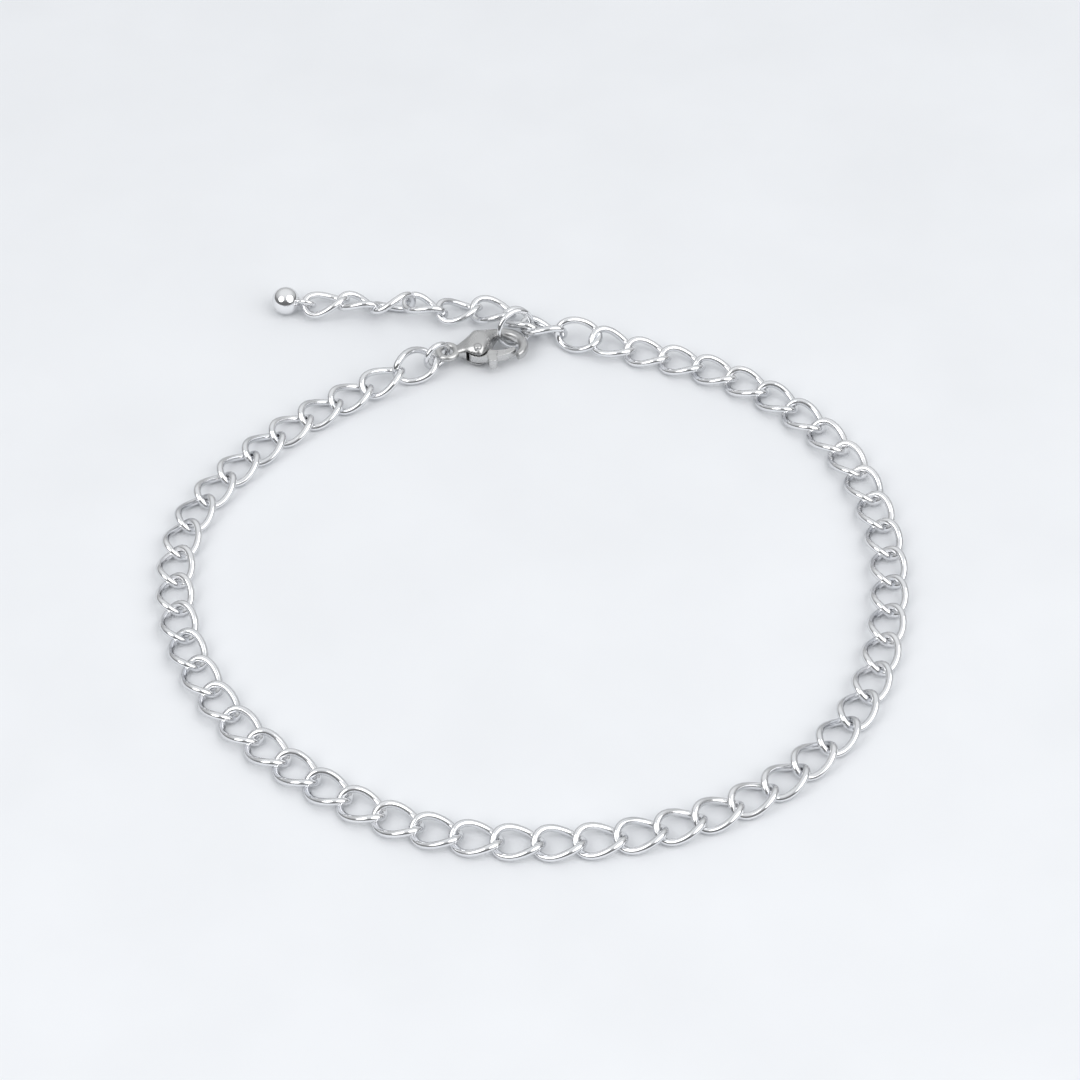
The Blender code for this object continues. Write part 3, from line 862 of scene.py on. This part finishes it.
# %% The end ball and its eye
def end_ball():
    middle, direction, roll = extender[-1]
    reach = (BALL_EYE_OUTER - BALL_EYE_WIRE) / 2
    seat = middle + unit(direction) * (LINK_HALF - reach)
    radius = BALL_DIAMETER / 2
    span = 2 * reach + BALL_EYE_WIRE / 2 + radius - BALL_EYE_SINK
    slope = (radius - seat[2]) / span
    way = math.sqrt(1 - slope**2) * level(BALL_EYE_HEADING) + slope * UP
    axes = axes_along(way, roll + LINK_TWIST)
    mesh = bpy.data.meshes.new("end_ball_mirror")
    work = bmesh.new()
    place = Matrix.Translation(in_world(seat + span * axes[0]))
    bmesh.ops.create_uvsphere(work, u_segments=72, v_segments=36, radius=radius * MM, matrix=place)
    work.to_mesh(mesh)
    work.free()
    mesh.materials.append(ball_steel)
    ball = new_object("end_ball_mirror", mesh)
    sizes = wire_sizes(reach, reach, BALL_EYE_WIRE, joint=0.04, segments=64)
    boolean(ball, "UNION", wire_pieces("ball eye", [(seat + reach * axes[0], axes)], sizes, ball_steel))
    ball.data.shade_smooth()
    ball.data.set_sharp_from_angle(angle=math.radians(50))
    return ball


ball = end_ball()
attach(ball, "bracelet")
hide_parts("end_ball")


# %% [markdown]
# The photograph is high key: pale bluish paper, two large soft lamps left and right of the camera,
# and a room that is bright overhead and dark low down in front. Steel shows white where it mirrors a
# lamp, pale where it mirrors the upper room and dark where it mirrors the lower one.

# %% Paper floor
FLOOR_SIZE = 3.0
FLOOR_COLOUR = (0.855, 0.87, 0.895)
FLOOR_SHADE = 0.965  # of the colour, in its darker patches
FLOOR_PATCHES = 60.0


def paper():
    material = bpy.data.materials.new("pale paper")
    material.use_nodes = True
    tree = material.node_tree
    shader = tree.nodes["Principled BSDF"]
    where = tree.nodes.new("ShaderNodeTexCoord").outputs["Object"]
    blend = tree.nodes.new("ShaderNodeMix")
    blend.data_type = "RGBA"
    blend.inputs["A"].default_value = (*[FLOOR_SHADE * value for value in FLOOR_COLOUR], 1.0)
    blend.inputs["B"].default_value = (*FLOOR_COLOUR, 1.0)
    join(tree, stretched(tree, noise(tree, where, FLOOR_PATCHES, 3.0), 0.0, 1.0), blend.inputs["Factor"])
    join(tree, blend.outputs["Result"], shader.inputs["Base Color"])
    shader.inputs["Roughness"].default_value = 0.7
    return material


half_floor = FLOOR_SIZE / 2
floor_mesh = bpy.data.meshes.new("paper_floor")
corner_signs = ((-1, -1), (1, -1), (1, 1), (-1, 1))
floor_corners = [(x * half_floor, y * half_floor, 0) for x, y in corner_signs]
floor_mesh.from_pydata(floor_corners, [], [(0, 1, 2, 3)])
floor_mesh.materials.append(paper())
floor = new_object("paper_floor", floor_mesh)

# %% Camera at the photograph's angle
CAMERA_ELEVATION = 46.8
CAMERA_DISTANCE = 0.3145
CAMERA_LENS = 104.5
LOOK_AT = (-0.04, 5.47, 0.0)


def aimed(thing, target):
    """Turns a lamp or camera so that it looks at the target."""
    thing.rotation_euler = (Vector(target) - thing.location).to_track_quat("-Z", "Y").to_euler()


camera_data = bpy.data.cameras.new("camera")
camera_data.lens = CAMERA_LENS
camera_data.sensor_width = 36.0
camera_data.clip_start = 0.01
camera = new_object("camera", camera_data)
look_at = in_world(LOOK_AT)
camera.location = look_at + CAMERA_DISTANCE * Vector((0, -cosd(CAMERA_ELEVATION), sind(CAMERA_ELEVATION)))
aimed(camera, look_at)
bpy.context.scene.camera = camera

# %% Soft lamps and the pale room
def soft_lamp(name, place, size, power):
    data = bpy.data.lights.new(name, "AREA")
    data.shape = "DISK"
    data.size = size
    data.energy = power
    lamp = new_object(name, data)
    lamp.location = place
    aimed(lamp, look_at)


LAMPS = {
    "left lamp": {"place": (-0.42, -0.30, 0.50), "size": 0.60, "power": 1.6},
    "right lamp": {"place": (0.45, -0.26, 0.50), "size": 0.85, "power": 2.5},
}
ROOM = [(0.00, 0.16), (0.24, 0.23), (0.50, 0.56), (0.90, 0.84)]
ROOM_TINT = (0.97, 0.985, 1.0)
ROOM_LEAN = (0.0, 0.40, 0.92)


def pale_room():
    """A room that is bright overhead and behind, and dark low down on the camera's side."""
    world = bpy.data.worlds.new("pale room")
    world.use_nodes = True
    tree = world.node_tree
    height = tree.nodes.new("ShaderNodeVectorMath")
    height.operation = "DOT_PRODUCT"
    height.inputs[1].default_value = ROOM_LEAN
    join(tree, tree.nodes.new("ShaderNodeTexCoord").outputs["Generated"], height.inputs[0])
    ramp = tree.nodes.new("ShaderNodeValToRGB")
    ramp.color_ramp.interpolation = "EASE"
    stops = ramp.color_ramp.elements
    while len(stops) < len(ROOM):
        stops.new(1.0)
    for stop, (up, grey) in zip(stops, ROOM):
        stop.position = up
        stop.color = (*[grey * value for value in ROOM_TINT], 1.0)
    join(tree, height.outputs["Value"], ramp.inputs["Fac"])
    join(tree, ramp.outputs["Color"], tree.nodes["Background"].inputs["Color"])
    return world


for name, lamp in LAMPS.items():
    soft_lamp(name, **lamp)
bpy.context.scene.world = pale_room()
bpy.context.scene.view_settings.view_transform = "Standard"
